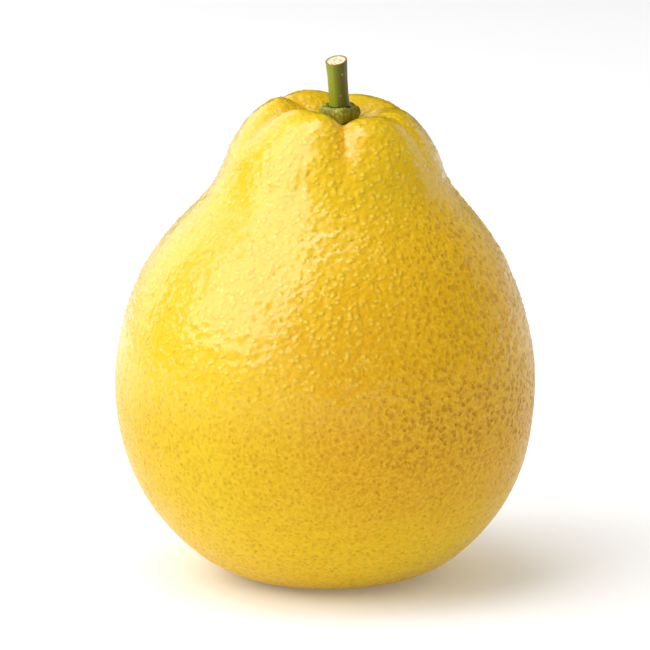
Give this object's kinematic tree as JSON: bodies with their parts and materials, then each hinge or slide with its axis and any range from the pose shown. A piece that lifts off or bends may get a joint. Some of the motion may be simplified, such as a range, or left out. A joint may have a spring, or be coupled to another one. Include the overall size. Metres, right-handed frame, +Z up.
{
  "type": "pomelo",
  "caption": "Whole pear-shaped pomelo with pitted yellow peel, a lobed neck, a green calyx and a short cut stalk, standing upright on the small flat of its base.",
  "frame": {"origin": "middle of the flat spot that the fruit rests on", "axes": "+Z up along the fruit's core towards the stalk, -Y towards the front, where the deepest groove of the neck is"},
  "size_m": [0.1606, 0.1606, 0.2008],
  "materials": {
    "peel": "satin waxy citrus peel, deep yellow, with pebbles on the shoulder and fine oil-gland pits below",
    "calyx": "satin olive green plant tissue, lumpy, paler on its high spots",
    "stalk": "satin olive green bark with small pale lenticels and a pale cream, fibrous cut end"
  },
  "bodies": {
    "root": {"fruit": "peel", "calyx": "calyx", "stem": "stalk"}
  },
  "joints": []
}
